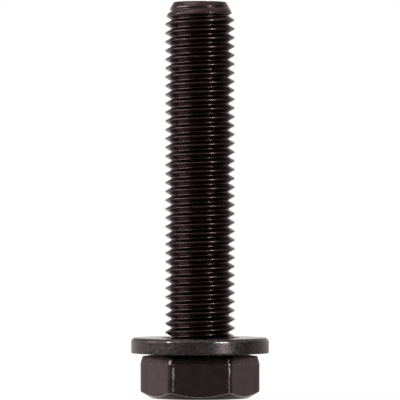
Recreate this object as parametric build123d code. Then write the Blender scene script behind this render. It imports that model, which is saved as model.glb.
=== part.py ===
from build123d import *
import math
import os

# A hexagon-head bolt, M16 x 2 x 80, threaded up to the head, with its flat washer.
# The bolt stands on its head. The origin is the centre of the flat end of the head,
# +Z runs along the shank to the tip, and one flat of the hexagon faces -Y.
# Lengths are in millimetres and angles in degrees.

# Hexagon head
across_flats = 23.8        # finished width, nominal 24
corner_round = 1.4         # rounding of the six upright corners
head_height = 10.2         # from the end of the head to the bearing face
end_flat_dia = 22.0        # flat circle at the end of the head
end_chamfer_angle = 30.0   # slope of the end chamfer above the flat circle
end_round = 0.4            # edge between the flat circle and the chamfer
shoulder_height = 1.55     # band of each flat that leans in under the bearing side
shoulder_lean = 10.0       # lean of that band from the vertical
washer_face_dia = 22.5     # raised round face that the washer seats on
washer_face_height = 0.7
washer_face_break = 0.15   # broken edge of the raised face

# Shank and thread
shank_dia = 16.0           # major diameter of the thread
shank_length = 79.8        # from the bearing face to the tip, nominal 80
under_head_fillet = 0.6
neck_height = 3.0          # plain neck between the bearing face and the thread
thread_pitch = 2.0
tip_flat_undercut = 1.55   # the tip's flat is this much smaller than the thread's core
lead_in_angle = 28.5       # lead-in cone at the tip, from the axis
lead_in_blend = 8.0        # radius that runs the cone into the shank
tip_round = 0.2            # edge of the tip's flat

# Flat washer
washer_dia = 31.3
washer_thickness = 3.5
washer_clearance = 0.5     # gap all round between the shank and the washer's bore
washer_top_chamfer = 0.6   # upper outer edge
washer_bottom_break = 0.2  # lower outer edge
washer_bore_chamfer = 0.55 # both ends of the bore, clear of the fillet under the head

# Worked out from the sizes above
core_dia = shank_dia - 1.22687 * thread_pitch
neck_dia = shank_dia - 0.64952 * thread_pitch  # the blank that the thread is rolled on
tip_flat_dia = core_dia - tip_flat_undercut
tip_z = head_height + shank_length
washer_bore = shank_dia + 2 * washer_clearance


def hexagon_section():
    """The head's section, with a flat towards -Y and rounded corners."""
    corner_radius = across_flats / math.sqrt(3)
    section = RegularPolygon(radius=corner_radius, side_count=6)
    return fillet(section.vertices(), radius=corner_round)


def head_envelope():
    """The turned outline that chamfers the end of the head."""
    flat_radius = end_flat_dia / 2
    outer_radius = across_flats
    chamfer_rise = (outer_radius - flat_radius) * math.tan(math.radians(end_chamfer_angle))
    outline = Polyline(
        (0, 0),
        (flat_radius, 0),
        (outer_radius, chamfer_rise),
        (outer_radius, head_height + chamfer_rise),
        (0, head_height + chamfer_rise),
        close=True,
    )
    section = make_face(Plane.XZ * outline)
    end_corner = section.vertices().sort_by_distance((flat_radius, 0, 0))[0]
    return revolve(fillet(end_corner, radius=end_round), Axis.Z)


def make_head():
    """The hexagon with its end chamfer, the leaning band and the raised washer face."""
    hexagon_top = head_height - washer_face_height
    upright_height = hexagon_top - shoulder_height
    section = hexagon_section()
    hexagon = extrude(section, upright_height)
    hexagon += extrude(Pos(0, 0, upright_height) * section, shoulder_height, taper=shoulder_lean)
    head = hexagon & head_envelope()
    raised_face = Pos(0, 0, hexagon_top) * Cylinder(
        washer_face_dia / 2, washer_face_height, align=(Align.CENTER, Align.CENTER, Align.MIN)
    )
    face_edge = raised_face.edges().group_by(Axis.Z)[-1]
    return head + chamfer(face_edge, washer_face_break)


def make_shank():
    """The shank: fillet and neck under the head, threaded length, rounded lead-in at the tip."""
    shank_radius = shank_dia / 2
    neck_radius = neck_dia / 2
    neck_top = head_height + neck_height
    tip_radius = tip_flat_dia / 2
    cone_length = (shank_radius - tip_radius) / math.tan(math.radians(lead_in_angle))
    foot_z = head_height - washer_face_height
    foot_radius = neck_radius + 2 * under_head_fillet
    outline = Polyline(
        (0, foot_z),
        (foot_radius, foot_z),
        (foot_radius, head_height),
        (neck_radius, head_height),
        (neck_radius, neck_top),
        (shank_radius, neck_top + shank_radius - neck_radius),
        (shank_radius, tip_z - cone_length),
        (tip_radius, tip_z),
        (0, tip_z),
        close=True,
    )
    section = make_face(Plane.XZ * outline)
    for corner, radius in (
        ((neck_radius, 0, head_height), under_head_fillet),
        ((shank_radius, 0, tip_z - cone_length), lead_in_blend),
        ((tip_radius, 0, tip_z), tip_round),
    ):
        vertex = section.vertices().sort_by_distance(corner)[0]
        section = fillet(vertex, radius=radius)
    return revolve(section, Axis.Z)


def make_bolt():
    return make_head() + make_shank()


def make_washer():
    """The loose flat washer, seated on the raised face of the head."""
    outer_radius = washer_dia / 2
    bore_radius = washer_bore / 2
    top_z = head_height + washer_thickness
    outline = Polyline(
        (bore_radius, head_height),
        (outer_radius, head_height),
        (outer_radius, top_z),
        (bore_radius, top_z),
        close=True,
    )
    section = make_face(Plane.XZ * outline)
    for corner, size in (
        ((outer_radius, 0, top_z), washer_top_chamfer),
        ((outer_radius, 0, head_height), washer_bottom_break),
        ((bore_radius, 0, top_z), washer_bore_chamfer),
        ((bore_radius, 0, head_height), washer_bore_chamfer),
    ):
        vertex = section.vertices().sort_by_distance(corner)[0]
        section = chamfer(vertex, size)
    return revolve(section, Axis.Z)


os.makedirs("parts", exist_ok=True)
for name, shape in (("bolt", make_bolt()), ("washer", make_washer())):
    solid = shape.solids()[0]
    solid.label = name
    export_step(solid, f"parts/{name}.step")
    print(name, len(shape.solids()), "solid,", round(solid.volume, 1), "mm3")
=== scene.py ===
"""Dresses an M16 x 2 x 80 hexagon-head bolt and its flat washer.

The bolt stands on its head, with +Z towards the tip, and the camera looks along +Y. Both pieces
are modelled again in full detail over their solids: the bolt gets its helical thread and soft
edges, the washer its rolled and worn edges. Sizes in the profiles are in millimetres.
"""

import math

import bmesh
import bpy
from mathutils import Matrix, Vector, noise


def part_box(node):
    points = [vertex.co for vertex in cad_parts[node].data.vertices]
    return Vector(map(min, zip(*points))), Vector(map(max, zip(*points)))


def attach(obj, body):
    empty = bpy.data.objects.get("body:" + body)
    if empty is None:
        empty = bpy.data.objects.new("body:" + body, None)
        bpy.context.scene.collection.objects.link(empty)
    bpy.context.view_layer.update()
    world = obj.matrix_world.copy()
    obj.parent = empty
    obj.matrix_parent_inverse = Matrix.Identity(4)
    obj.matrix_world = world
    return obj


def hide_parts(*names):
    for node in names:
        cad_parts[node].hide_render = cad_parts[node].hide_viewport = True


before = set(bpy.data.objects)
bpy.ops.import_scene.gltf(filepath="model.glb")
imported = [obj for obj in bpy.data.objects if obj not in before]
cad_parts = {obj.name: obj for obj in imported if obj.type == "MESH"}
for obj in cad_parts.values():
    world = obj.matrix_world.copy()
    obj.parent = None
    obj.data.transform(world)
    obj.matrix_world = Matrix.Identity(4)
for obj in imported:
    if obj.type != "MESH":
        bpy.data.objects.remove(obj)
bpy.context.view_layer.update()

MM = 0.001
TAN_30 = math.tan(math.radians(30))

# ---------------------------------------------------------------- sizes, from the frame and the standard
bolt_low, bolt_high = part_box("bolt")
washer_low, washer_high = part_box("washer")

ACROSS_FLATS = (bolt_high.y - bolt_low.y) / MM
HEAD_HEIGHT = washer_low.z / MM  # up to the bearing face, where the washer sits
TIP_Z = bolt_high.z / MM
WASHER_RADIUS = (washer_high.x - washer_low.x) / 2 / MM
WASHER_TOP = washer_high.z / MM

CORNER_ROUND = 1.4
END_FLAT_RADIUS = 11.0
END_CHAMFER_SLOPE = TAN_30
END_ROUND = 0.4
CHAMFER_ARC_ROUND = 0.3     # where the end chamfer cuts the flats in arcs
SHOULDER_HEIGHT = 1.55
SHOULDER_LEAN = 0.40        # how far the band under the bearing side leans in
SHOULDER_ROUND = 0.45
BEARING_SLOPE = 0.15        # the bearing side falls off towards the corners
WASHER_FACE_RADIUS = 11.25
WASHER_FACE_HEIGHT = 0.7

SHANK_RADIUS = 8.0
PITCH = 2.0
CREST_RADIUS = 7.92         # as rolled, a little under the nominal 8
CREST_FLAT = 0.24
CREST_ROUND = 0.10
ROOT_ROUND = 0.20
FLANK_TAN = TAN_30
CREST_START = 3.73          # a crest passes +X this far above the bearing face
NECK_RADIUS = 7.35
NECK_HEIGHT = 1.2           # unthreaded neck above the bearing face
RUN_OUT = 2.0               # the thread grows to its full form over this height
UNDER_HEAD_FILLET = 0.6
TIP_FLAT_RADIUS = 6.0
TIP_ROUND = 0.35
LEAD_IN_TAN = math.tan(math.radians(28.5))
LEAD_IN_BLEND = 8.0

WASHER_BORE_RADIUS = 8.5
WASHER_BORE_CHAMFER = 0.55
WASHER_CHAMFER = 0.6

# Bare places as (bearing, half width, wear and glint), with the bearing in degrees from -Y towards +X.
# Most are wear. Some are painted glints and painted highlight lines, put where the lamps reflect: on the
# washer's top chamfer at -27 and 18, on the tip's edge at 18, and on the head's two front corners at -27 and
# 29.9.
# The skin starts to go at a value of about 0.55, and the metal is bare from about 0.85.
WASHER_RUBS_AND_GLINTS = (
    (-44.0, 9.0, 0.2),
    (-27.0, 3.5, 0.6),
    (18.0, 7.5, 1.0),
    (37.0, 5.0, 0.3),
    (101.0, 12.0, 0.6),
    (-150.0, 9.0, 0.5),
)
TIP_RUBS_AND_GLINTS = ((18.0, 6.0, 1.0), (-120.0, 15.0, 0.6))
CORNER_RUBS_AND_HIGHLIGHTS = (
    (-27.0, 1.2, 1.25),
    (29.9, 1.2, 0.80),
    (90.0, 1.4, 0.45),
    (150.0, 1.6, 0.60),
    (-149.0, 1.2, 0.50),
    (-90.0, 1.4, 0.35),
)

THREAD_COLUMNS = 120        # columns of the helical grid in one turn
FACE_SEGMENTS = 14          # columns of one flat of the hexagon
CORNER_SEGMENTS = 8         # columns of one rounded corner
WASHER_COLUMNS = 240

MERGE_DISTANCE = 0.002 * MM
SLIVER_LENGTH = 0.0001 * MM

# Grey levels of the room, where 1 is the white of the background
ROOM_FRONT = 0.26
ROOM_BEHIND = 1.12
ROOM_CEILING = 0.85


# ---------------------------------------------------------------- mesh helpers
def smooth_step(low, high, value):
    t = min(max((value - low) / (high - low), 0.0), 1.0)
    return t * t * (3 - 2 * t)


def rubs_and_glints_at(angle, places):
    """How bare a place around the axis is, from wear and from painted glints. The angle is in radians from
    +X.
    """
    bearing = math.degrees(angle) + 90
    most = 0.0
    for centre, half_width, wear_and_glint in places:
        away = abs((bearing - centre + 180) % 360 - 180)
        most = max(most, wear_and_glint * (1 - smooth_step(0.4 * half_width, half_width, away)))
    return most


def rounded(points):
    """A profile of (radius, height, fillet, segments, wear and glint) corners, with each corner rounded.

    Returns (radius, height, wear and glint) points. Every profile with the same segments gives as many
    points, so that the profiles of neighbouring columns join into a grid.
    """
    result = []
    for index, (radius, height, fillet, segments, wear_and_glint) in enumerate(points):
        if segments == 0:
            result.append((radius, height, wear_and_glint))
            continue
        here = Vector((radius, height))
        before = Vector(points[index - 1][:2]) - here
        after = Vector(points[index + 1][:2]) - here
        turn = math.pi - before.angle(after)
        reach = min(fillet * math.tan(turn / 2), before.length * 0.49, after.length * 0.49)
        start = here + before.normalized() * reach
        end = here + after.normalized() * reach
        for step in range(segments + 1):
            t = step / segments
            point = start * (1 - t) ** 2 + here * 2 * t * (1 - t) + end * t ** 2
            result.append((point.x, point.y, wear_and_glint * 4 * t * (1 - t)))
    return result


def polar(radius, angle, height):
    return (radius * math.cos(angle) * MM, radius * math.sin(angle) * MM, height * MM)


class MeshBuilder:
    """Collects vertices, faces and a wear and glint value for each vertex, and makes one object."""

    def __init__(self):
        self.points = []
        self.wear_and_glint = []
        self.faces = []

    def add(self, point, wear_and_glint=0.0):
        self.points.append(point)
        self.wear_and_glint.append(wear_and_glint)
        return len(self.points) - 1

    def rings(self, angles, profiles):
        """A closed grid around the axis: one profile for each angle. Returns its rows of vertices."""
        columns = []
        for angle, profile in zip(angles, profiles):
            columns.append([self.add(polar(r, angle, z), w) for r, z, w in profile])
        for left, right in zip(columns, columns[1:] + columns[:1]):
            for row in range(len(left) - 1):
                self.faces.append((left[row], right[row], right[row + 1], left[row + 1]))
        return list(zip(*columns))

    def fan(self, ring, point, upward):
        """Closes a ring with triangles to one point."""
        centre = self.add(point)
        for a, b in zip(ring, ring[1:] + ring[:1]):
            self.faces.append((a, b, centre) if upward else (b, a, centre))

    def bridge(self, outer, outer_angles, inner, inner_angles):
        """Fills a flat annulus, facing up, between two rings with their own angles."""
        i = 0
        j = 0
        full = 2 * math.pi
        while i < len(outer) or j < len(inner):
            next_outer = outer_angles[i + 1] if i + 1 < len(outer) else full + outer_angles[0]
            next_inner = inner_angles[j + 1] if j + 1 < len(inner) else full + inner_angles[0]
            a = outer[i % len(outer)]
            b = inner[j % len(inner)]
            if j >= len(inner) or (i < len(outer) and next_outer <= next_inner):
                self.faces.append((a, outer[(i + 1) % len(outer)], b))
                i += 1
            else:
                self.faces.append((a, inner[(j + 1) % len(inner)], b))
                j += 1

    def build(self, name):
        mesh = bpy.data.meshes.new(name)
        mesh.from_pydata(self.points, [], self.faces)
        layer = mesh.attributes.new("wear_and_glint", "FLOAT", "POINT")
        layer.data.foreach_set("value", self.wear_and_glint)
        work = bmesh.new()
        work.from_mesh(mesh)
        bmesh.ops.remove_doubles(work, verts=work.verts, dist=MERGE_DISTANCE)
        bmesh.ops.dissolve_degenerate(work, edges=work.edges, dist=SLIVER_LENGTH)
        bmesh.ops.recalc_face_normals(work, faces=work.faces)
        for face in work.faces:
            face.smooth = True
        work.to_mesh(mesh)
        work.free()
        piece = bpy.data.objects.new(name, mesh)
        bpy.context.scene.collection.objects.link(piece)
        return piece


# ---------------------------------------------------------------- the hexagon head
def corner_half_angle():
    """Half of the angle that one rounded corner takes up around the axis."""
    apothem = ACROSS_FLATS / 2
    return math.pi / 6 - math.atan((apothem - CORNER_ROUND) * TAN_30 / apothem)


def hexagon_radius(angle, inset=0.0):
    """Distance from the axis to the rounded hexagon, whose corners lie on +X and -X."""
    apothem = ACROSS_FLATS / 2 - inset
    from_corner = (angle + math.pi / 6) % (math.pi / 3) - math.pi / 6
    from_face = math.pi / 6 - abs(from_corner)
    if from_face <= math.atan((apothem - CORNER_ROUND) * TAN_30 / apothem):
        return apothem / math.cos(from_face)
    centre = (apothem - CORNER_ROUND) / math.cos(math.pi / 6)
    across = centre * math.sin(from_corner)
    return centre * math.cos(from_corner) + math.sqrt(CORNER_ROUND ** 2 - across ** 2)


def hexagon_angles():
    """The angles of the head's columns: close together round each corner, wider on the flats."""
    half = corner_half_angle()
    face_width = math.pi / 3 - 2 * half
    angles = []
    for side in range(6):
        start = side * math.pi / 3
        for step in range(CORNER_SEGMENTS):
            angles.append(start + 2 * half * step / CORNER_SEGMENTS)
        for step in range(FACE_SEGMENTS):
            angles.append(start + 2 * half + face_width * step / FACE_SEGMENTS)
    return [angle - half for angle in angles]


def head_profile(angle):
    """The head's half section at one angle, from the middle of its end to the washer face."""
    side = hexagon_radius(angle)
    lean = hexagon_radius(angle, SHOULDER_LEAN)
    corner_top = HEAD_HEIGHT - WASHER_FACE_HEIGHT
    corner_lean = hexagon_radius(0.0, SHOULDER_LEAN)
    shoulder = corner_top - SHOULDER_HEIGHT
    top = corner_top + BEARING_SLOPE * (corner_lean - lean)
    face_edge = corner_top + BEARING_SLOPE * (corner_lean - WASHER_FACE_RADIUS)
    chamfer_top = (side - END_FLAT_RADIUS) * END_CHAMFER_SLOPE
    at_corner = smooth_step(ACROSS_FLATS / 2 + 0.3, ACROSS_FLATS / 2 + 1.4, side)
    # Corner wear, with painted highlight lines on the two front corners at -27 and 29.9 degrees, where the
    # lamps reflect
    upright = rubs_and_glints_at(angle, CORNER_RUBS_AND_HIGHLIGHTS)
    return rounded([
        (4.0, 0.0, 0, 0, 0),
        (8.0, 0.0, 0, 0, 0),
        (END_FLAT_RADIUS - 0.7, 0.0, 0, 0, 0),
        (END_FLAT_RADIUS, 0.0, END_ROUND, 4, 0.2),
        # A bare line along the chamfer arcs: edge wear, and a painted highlight line
        (side, chamfer_top, CHAMFER_ARC_ROUND, 4, 0.95 + 0.15 * at_corner),
        (side, chamfer_top + 0.4, 0, 0, 0.62 * upright),
        (side, (chamfer_top + shoulder) / 2, 0, 0, 0.66 * upright),
        (side, shoulder - 1.0, 0, 0, 0.85 * upright),
        (side, shoulder, SHOULDER_ROUND, 3, 0.64 + 0.7 * upright),
        ((side + lean) / 2, (shoulder + top) / 2, 0, 0, 0),
        (lean, top, 0.16, 3, 0.2),
        (WASHER_FACE_RADIUS + 0.02, face_edge, 0.08, 2, 0),
        (WASHER_FACE_RADIUS, HEAD_HEIGHT, 0.15, 3, 0.1),
        (WASHER_FACE_RADIUS - 0.8, HEAD_HEIGHT, 0, 0, 0),
    ])


# ---------------------------------------------------------------- the threaded shank
def lead_in_radius(height):
    """Outer limit of the shank: a cone at the tip that a large arc runs into the full radius."""
    below_tip = TIP_Z - height
    lead_angle = math.atan(LEAD_IN_TAN)
    cone_length = (SHANK_RADIUS - TIP_FLAT_RADIUS) / LEAD_IN_TAN
    reach = LEAD_IN_BLEND * math.tan(lead_angle / 2)
    blend_start = cone_length - reach * math.cos(lead_angle)
    blend_end = cone_length + reach
    if below_tip >= blend_end:
        return SHANK_RADIUS
    if below_tip <= blend_start:
        return TIP_FLAT_RADIUS + below_tip * LEAD_IN_TAN
    along = blend_end - below_tip
    return SHANK_RADIUS - LEAD_IN_BLEND + math.sqrt(LEAD_IN_BLEND ** 2 - along ** 2)


def thread_rows():
    """One pitch of the thread as (offset from the crest's middle, depth, wear), from crest to crest."""
    depth = (PITCH - CREST_FLAT) / 2 / FLANK_TAN - ROOT_ROUND
    arc_start = CREST_FLAT / 2 - CREST_ROUND * FLANK_TAN
    half = [(arc_start, 0.0, 0.4)]
    for degrees in (20, 40, 60):
        turn = math.radians(degrees)
        offset = arc_start + CREST_ROUND * math.sin(turn)
        half.append((offset, CREST_ROUND * (1 - math.cos(turn)), 0.4 - degrees / 150))
    root_centre = depth - ROOT_ROUND
    flank_end = PITCH / 2 - ROOT_ROUND * math.cos(math.radians(30))
    flank_end_depth = root_centre + ROOT_ROUND * math.sin(math.radians(30))
    last_offset, last_depth, _ = half[-1]
    half.append(((last_offset + flank_end) / 2, (last_depth + flank_end_depth) / 2, 0.0))
    half.append((flank_end, flank_end_depth, 0.0))
    root = []
    for degrees in (-30, 0, 30):
        turn = math.radians(degrees)
        root.append((PITCH / 2 + ROOT_ROUND * math.sin(turn), root_centre + ROOT_ROUND * math.cos(turn), 0.0))
    mirrored = [(PITCH - offset, row_depth, wear_and_glint) for offset, row_depth, wear_and_glint in reversed(half)]
    return half + root + mirrored


def thread_point(column, turn_rows, row, low, high):
    """The place of one vertex of the helical grid, held between the neck and the tip."""
    offset, depth, wear_and_glint = turn_rows[row]
    angle = 2 * math.pi * (column % THREAD_COLUMNS) / THREAD_COLUMNS
    height = low - 2 * PITCH + PITCH * column / THREAD_COLUMNS + offset
    height += (HEAD_HEIGHT + CREST_START - low) % PITCH
    clamped = min(max(height, low), high)
    grown = smooth_step(low, low + RUN_OUT, clamped)
    radius = NECK_RADIUS + (CREST_RADIUS - depth - NECK_RADIUS) * grown
    return polar(min(radius, lead_in_radius(clamped)), angle, clamped), wear_and_glint


def add_thread(builder):
    """The helical grid. Its first and last turns are clamped flat, so that they end in plain rings."""
    rows = thread_rows()
    low = HEAD_HEIGHT + NECK_HEIGHT
    high = TIP_Z - TIP_ROUND
    last_column = (math.ceil((high - low) / PITCH) + 3) * THREAD_COLUMNS
    index = {}
    for column in range(last_column + 1):
        for row in range(len(rows)):
            point, wear_and_glint = thread_point(column, rows, row, low, high)
            index[column, row] = builder.add(point, wear_and_glint)
    for column in range(last_column):
        for row in range(len(rows)):
            above = (column, row + 1)
            above_next = (column + 1, row + 1)
            if row + 1 == len(rows):
                above = (column + THREAD_COLUMNS, 0)
                above_next = (column + 1 + THREAD_COLUMNS, 0)
            if above_next in index:
                face = (index[column, row], index[column + 1, row], index[above_next], index[above])
                builder.faces.append(face)


def make_bolt():
    """The whole bolt as one closed mesh: head, neck, thread and tip."""
    builder = MeshBuilder()
    head_angles = hexagon_angles()
    head_rows = builder.rings(head_angles, [head_profile(angle) for angle in head_angles])
    builder.fan(list(head_rows[0]), (0, 0, 0), upward=False)

    shank_angles = [2 * math.pi * column / THREAD_COLUMNS for column in range(THREAD_COLUMNS)]
    neck = rounded([
        (NECK_RADIUS + 1.2, HEAD_HEIGHT, 0, 0, 0),
        (NECK_RADIUS, HEAD_HEIGHT, UNDER_HEAD_FILLET, 5, 0),
        (NECK_RADIUS, HEAD_HEIGHT + NECK_HEIGHT, 0, 0, 0),
    ])
    neck_rows = builder.rings(shank_angles, [neck] * THREAD_COLUMNS)
    builder.bridge(list(head_rows[-1]), head_angles, list(neck_rows[0]), shank_angles)

    add_thread(builder)

    tip_start = lead_in_radius(TIP_Z - TIP_ROUND)
    tips = []
    for angle in shank_angles:
        # A worn tip edge, with a painted glint on the edge at 18 degrees
        worn_and_glint = 0.35 + rubs_and_glints_at(angle, TIP_RUBS_AND_GLINTS)
        tips.append(rounded([
            (tip_start, TIP_Z - TIP_ROUND, 0, 0, 0.3 * worn_and_glint),
            (TIP_FLAT_RADIUS, TIP_Z, TIP_ROUND, 3, worn_and_glint),
            (TIP_FLAT_RADIUS - 0.5, TIP_Z, 0, 0, 0),
            (3.0, TIP_Z, 0, 0, 0),
            (1.0, TIP_Z, 0, 0, 0),
        ]))
    tip_rows = builder.rings(shank_angles, tips)
    builder.fan(list(tip_rows[-1]), (0, 0, TIP_Z * MM), upward=True)
    return builder.build("bolt_body")


# ---------------------------------------------------------------- the washer
def washer_profile(angle):
    """The washer's section at one angle, all the way round from the middle of its bore."""
    place = Vector((math.cos(angle), math.sin(angle), 0.0))
    ding = 0.04 * noise.noise(place * 5.0) + 0.03 * noise.noise(place * 17.0)
    # Wear round the washer, with painted glints on the top chamfer at -27 and 18 degrees, where the key and
    # strip lamps glint
    rub_and_glint = rubs_and_glints_at(angle, WASHER_RUBS_AND_GLINTS)
    outer = WASHER_RADIUS
    bore = WASHER_BORE_RADIUS
    bottom = HEAD_HEIGHT
    top = WASHER_TOP
    middle = (bottom + top) / 2
    chamfer = WASHER_CHAMFER + ding
    return rounded([
        (bore, middle, 0, 0, 0),
        (bore, bottom + WASHER_BORE_CHAMFER, 0.1, 2, 0),
        (bore + WASHER_BORE_CHAMFER, bottom, 0.1, 2, 0),
        (outer - 1.0, bottom, 0, 0, 0),
        (outer, bottom, 0.25 + ding, 4, 0.62),
        (outer, bottom + 0.6, 0, 0, 0),
        (outer, top - chamfer - 0.5, 0, 0, 0.1 * rub_and_glint),
        (outer, top - chamfer, 0.16 + 0.35 * rub_and_glint, 4, 0.55 + 0.6 * rub_and_glint),
        (outer - chamfer, top, 0.2, 3, 0.45 + 0.2 * rub_and_glint),
        (outer - chamfer - 0.4, top, 0, 0, 0.1),
        (bore + 2.0, top, 0, 0, 0),
        (bore + WASHER_BORE_CHAMFER, top, 0.1, 2, 0.2),
        (bore, top - WASHER_BORE_CHAMFER, 0.1, 2, 0),
        (bore, middle, 0, 0, 0),
    ])


def make_washer():
    """The flat washer as one closed ring, with its edges rolled and slightly uneven."""
    builder = MeshBuilder()
    angles = [2 * math.pi * column / WASHER_COLUMNS for column in range(WASHER_COLUMNS)]
    builder.rings(angles, [washer_profile(angle) for angle in angles])
    return builder.build("washer_body")


# ---------------------------------------------------------------- materials
# Bare steel, for worn places and for the painted glints and painted highlight lines
BARE_METAL = (0.56, 0.51, 0.49, 1)
WHITE = (1, 1, 1, 1)


def new_material(name):
    material = bpy.data.materials.new(name)
    material.use_nodes = True
    material.node_tree.nodes.clear()
    return material, material.node_tree.nodes, material.node_tree.links


def add_noise(nodes, links, place, scale, detail, roughness):
    texture = nodes.new("ShaderNodeTexNoise")
    texture.inputs["Scale"].default_value = scale
    texture.inputs["Detail"].default_value = detail
    texture.inputs["Roughness"].default_value = roughness
    links.new(place.outputs["Object"], texture.inputs["Vector"])
    return texture.outputs["Fac"]


def add_range(nodes, links, value, from_min, from_max, to_min=0.0, to_max=1.0):
    spread = nodes.new("ShaderNodeMapRange")
    spread.inputs["From Min"].default_value = from_min
    spread.inputs["From Max"].default_value = from_max
    spread.inputs["To Min"].default_value = to_min
    spread.inputs["To Max"].default_value = to_max
    links.new(value, spread.inputs["Value"])
    return spread


def add_math(nodes, links, operation, first, second, third=None):
    """A Math node whose inputs are sockets or plain numbers."""
    node = nodes.new("ShaderNodeMath")
    node.operation = operation
    for slot, value in enumerate((first, second, third)):
        if isinstance(value, (int, float)):
            node.inputs[slot].default_value = value
        elif value is not None:
            links.new(value, node.inputs[slot])
    return node.outputs["Value"]


def black_oxide(name, dark, light, mottle_scale, roughness, level_roughness, bump_strength):
    """Blackened steel: a dark, faintly purple skin that wears to bare metal on its edges and at painted
    glints.

    The skin is mottled between two colours. Level surfaces have their own roughness.
    """
    material, nodes, links = new_material(name)
    output = nodes.new("ShaderNodeOutputMaterial")
    shader = nodes.new("ShaderNodeBsdfPrincipled")
    shader.inputs["Metallic"].default_value = 1.0
    shader.inputs["Specular Tint"].default_value = (1.0, 0.92, 0.90, 1)
    links.new(shader.outputs["BSDF"], output.inputs["Surface"])
    place = nodes.new("ShaderNodeTexCoord")

    mottle = add_noise(nodes, links, place, mottle_scale, 6.0, 0.62)
    colour = nodes.new("ShaderNodeValToRGB")
    colour.color_ramp.elements[0].position = 0.34
    colour.color_ramp.elements[0].color = (*dark, 1)
    colour.color_ramp.elements[1].position = 0.68
    colour.color_ramp.elements[1].color = (*light, 1)
    links.new(mottle, colour.inputs["Fac"])

    # Bare metal where the vertices' wear and glint value is high: worn edges, and painted glints and
    # highlight lines where the lamps reflect
    wear_and_glint = nodes.new("ShaderNodeAttribute")
    wear_and_glint.attribute_name = "wear_and_glint"
    speckle = add_noise(nodes, links, place, 1100.0, 5.0, 0.7)
    rub_and_glint = add_math(nodes, links, "MULTIPLY_ADD", speckle, 1.2, -0.6)
    worn_and_glint = add_math(nodes, links, "ADD", wear_and_glint.outputs["Fac"], rub_and_glint)
    bare = add_range(nodes, links, worn_and_glint, 0.55, 0.85)

    worn_and_glint_colour = nodes.new("ShaderNodeMix")
    worn_and_glint_colour.data_type = "RGBA"
    worn_and_glint_colour.inputs["B"].default_value = BARE_METAL
    links.new(bare.outputs["Result"], worn_and_glint_colour.inputs["Factor"])
    links.new(colour.outputs["Color"], worn_and_glint_colour.inputs["A"])
    links.new(worn_and_glint_colour.outputs["Result"], shader.inputs["Base Color"])

    parts = nodes.new("ShaderNodeSeparateXYZ")
    links.new(place.outputs["Normal"], parts.inputs["Vector"])
    level = add_range(nodes, links, parts.outputs["Z"], 0.93, 0.995)
    gloss = add_range(nodes, links, mottle, 0.3, 0.7, roughness - 0.04, roughness + 0.05)
    blended = nodes.new("ShaderNodeMix")
    blended.data_type = "FLOAT"
    blended.inputs["B"].default_value = level_roughness
    links.new(level.outputs["Result"], blended.inputs["Factor"])
    links.new(gloss.outputs["Result"], blended.inputs["A"])
    links.new(blended.outputs["Result"], shader.inputs["Roughness"])

    bump = nodes.new("ShaderNodeBump")
    bump.inputs["Strength"].default_value = bump_strength
    bump.inputs["Distance"].default_value = 0.00002
    links.new(add_noise(nodes, links, place, 2600.0, 3.0, 0.5), bump.inputs["Height"])
    links.new(bump.outputs["Normal"], shader.inputs["Normal"])
    return material


# ---------------------------------------------------------------- camera, light and floor
def aim(holder, place):
    """Puts a camera or a lamp in its place, facing the middle of the bolt."""
    target = Vector((0.0, 0.0, TIP_Z * MM / 2))
    holder.location = place
    holder.rotation_euler = (target - Vector(place)).to_track_quat("-Z", "Y").to_euler()
    bpy.context.scene.collection.objects.link(holder)


def make_camera():
    """Level with the middle of the bolt, far off, with a long lens."""
    camera = bpy.data.cameras.new("camera")
    camera.sensor_width = 36.0
    camera.lens = 378.0
    camera.clip_start = 0.01
    camera.clip_end = 60.0
    holder = bpy.data.objects.new("camera", camera)
    aim(holder, (0.0, -0.955, 0.041))
    bpy.context.scene.camera = holder


def add_lamp(name, bearing, distance, height, size, radiance):
    """A cool rectangular lamp at a bearing in degrees from -Y, growing towards +X."""
    lamp = bpy.data.lights.new(name, "AREA")
    lamp.shape = "RECTANGLE"
    lamp.size, lamp.size_y = size
    lamp.color = (0.87, 1.0, 0.98)
    lamp.energy = radiance * math.pi * size[0] * size[1]
    turn = math.radians(bearing)
    place = (distance * math.sin(turn), -distance * math.cos(turn), height)
    aim(bpy.data.objects.new(name, lamp), place)


def make_world():
    """A studio that is white behind the object, dim in front, and shows as plain white itself."""
    world = bpy.data.worlds.new("studio")
    bpy.context.scene.world = world
    world.use_nodes = True
    nodes = world.node_tree.nodes
    links = world.node_tree.links
    nodes.clear()
    output = nodes.new("ShaderNodeOutputWorld")
    coordinate = nodes.new("ShaderNodeTexCoord")
    parts = nodes.new("ShaderNodeSeparateXYZ")
    links.new(coordinate.outputs["Generated"], parts.inputs["Vector"])
    behind = add_range(nodes, links, parts.outputs["Y"], 0.05, 0.42, ROOM_FRONT, ROOM_BEHIND)
    upper = add_range(nodes, links, parts.outputs["Z"], 0.10, 0.30, 1.0, 0.45)
    right = add_range(nodes, links, parts.outputs["X"], 0.45, 0.85, 1.0, 0.46)
    glare = add_range(nodes, links, parts.outputs["X"], 0.0, 0.25, 1.0, 1.4)
    ceiling = add_range(nodes, links, parts.outputs["Z"], 0.45, 0.75, 0.0, ROOM_CEILING)
    level = behind.outputs["Result"]
    for share in (upper, right, glare):
        level = add_math(nodes, links, "MULTIPLY", level, share.outputs["Result"])
    level = add_math(nodes, links, "MAXIMUM", level, ceiling.outputs["Result"])
    around = nodes.new("ShaderNodeBackground")
    around.inputs["Color"].default_value = WHITE
    links.new(level, around.inputs["Strength"])
    seen = nodes.new("ShaderNodeBackground")
    seen.inputs["Color"].default_value = WHITE
    seen.inputs["Strength"].default_value = 1.0
    path = nodes.new("ShaderNodeLightPath")
    mix = nodes.new("ShaderNodeMixShader")
    links.new(path.outputs["Is Camera Ray"], mix.inputs["Fac"])
    links.new(around.outputs["Background"], mix.inputs[1])
    links.new(seen.outputs["Background"], mix.inputs[2])
    links.new(mix.outputs["Shader"], output.inputs["Surface"])


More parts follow.
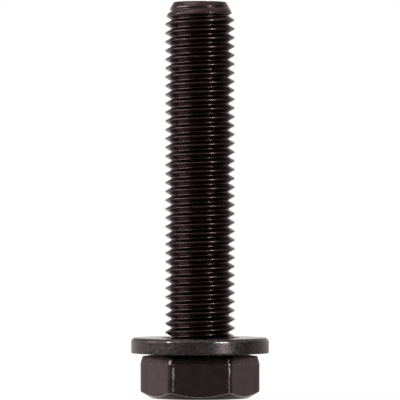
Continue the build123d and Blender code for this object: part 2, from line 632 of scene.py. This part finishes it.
def make_floor():
    """A white floor that runs into the background and keeps a soft shadow round the head."""
    mesh = bpy.data.meshes.new("floor")
    half = 25.0
    low = -0.02 * MM  # a hair below the head's end, so that no two faces coincide
    corners = [(-half, -half, low), (half, -half, low), (half, half, low), (-half, half, low)]
    mesh.from_pydata(corners, [], [(0, 1, 2, 3)])
    floor = bpy.data.objects.new("floor", mesh)
    bpy.context.scene.collection.objects.link(floor)
    material, nodes, links = new_material("floor")
    output = nodes.new("ShaderNodeOutputMaterial")
    diffuse = nodes.new("ShaderNodeBsdfDiffuse")
    diffuse.inputs["Color"].default_value = (0.8, 0.8, 0.8, 1)
    glow = nodes.new("ShaderNodeEmission")
    path = nodes.new("ShaderNodeLightPath")
    place = nodes.new("ShaderNodeNewGeometry")
    parts = nodes.new("ShaderNodeSeparateXYZ")
    links.new(place.outputs["Position"], parts.inputs["Vector"])

    # In reflections the floor is as dim in front as the room is, and dimmer at the right.
    behind = add_range(nodes, links, parts.outputs["Y"], -0.012, -0.002, ROOM_FRONT, 0.98)
    right = add_range(nodes, links, parts.outputs["X"], 0.005, 0.030, 1.0, 0.62)
    mirrored = add_math(nodes, links, "MULTIPLY", behind.outputs["Result"], right.outputs["Result"])
    strength = add_range(nodes, links, path.outputs["Is Camera Ray"], 0.0, 1.0)
    links.new(mirrored, strength.inputs["To Min"])
    links.new(strength.outputs["Result"], glow.inputs["Strength"])

    # The share of plain white grows away from the object, so that the floor has no far edge.
    distance = nodes.new("ShaderNodeVectorMath")
    distance.operation = "LENGTH"
    links.new(place.outputs["Position"], distance.inputs[0])
    white = add_range(nodes, links, distance.outputs["Value"], 0.02, 0.15, 0.95, 1.0)
    seen = add_math(nodes, links, "MULTIPLY", path.outputs["Is Camera Ray"], white.outputs["Result"])
    bounced = add_math(
        nodes, links, "MAXIMUM", path.outputs["Is Glossy Ray"], path.outputs["Is Transmission Ray"]
    )
    share = add_math(nodes, links, "MULTIPLY_ADD", bounced, 0.9, seen)
    mix = nodes.new("ShaderNodeMixShader")
    links.new(share, mix.inputs["Fac"])
    links.new(diffuse.outputs["BSDF"], mix.inputs[1])
    links.new(glow.outputs["Emission"], mix.inputs[2])
    links.new(mix.outputs["Shader"], output.inputs["Surface"])
    mesh.materials.append(material)


# ---------------------------------------------------------------- the scene
make_camera()
make_world()
make_floor()
add_lamp("key", -72.0, 0.85, 0.40, (0.80, 0.42), 9.5)
add_lamp("strip", 40.5, 0.80, 0.19, (0.025, 0.36), 115.0)
add_lamp("top", -60.0, 0.35, 0.62, (0.45, 0.30), 1.4)

bolt = make_bolt()
bolt.data.materials.append(black_oxide(
    "black_oxide_bolt",
    dark=(0.050, 0.031, 0.034),
    light=(0.076, 0.048, 0.053),
    mottle_scale=420.0,
    roughness=0.25,
    level_roughness=0.30,
    bump_strength=0.30,
))
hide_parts("bolt")
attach(bolt, "root")

washer = make_washer()
washer.data.materials.append(black_oxide(
    "black_oxide_washer",
    dark=(0.038, 0.028, 0.030),
    light=(0.105, 0.076, 0.081),
    mottle_scale=1500.0,
    roughness=0.34,
    level_roughness=0.22,
    bump_strength=0.5,
))
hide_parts("washer")
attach(washer, "root")

bpy.context.scene.view_settings.view_transform = "Standard"
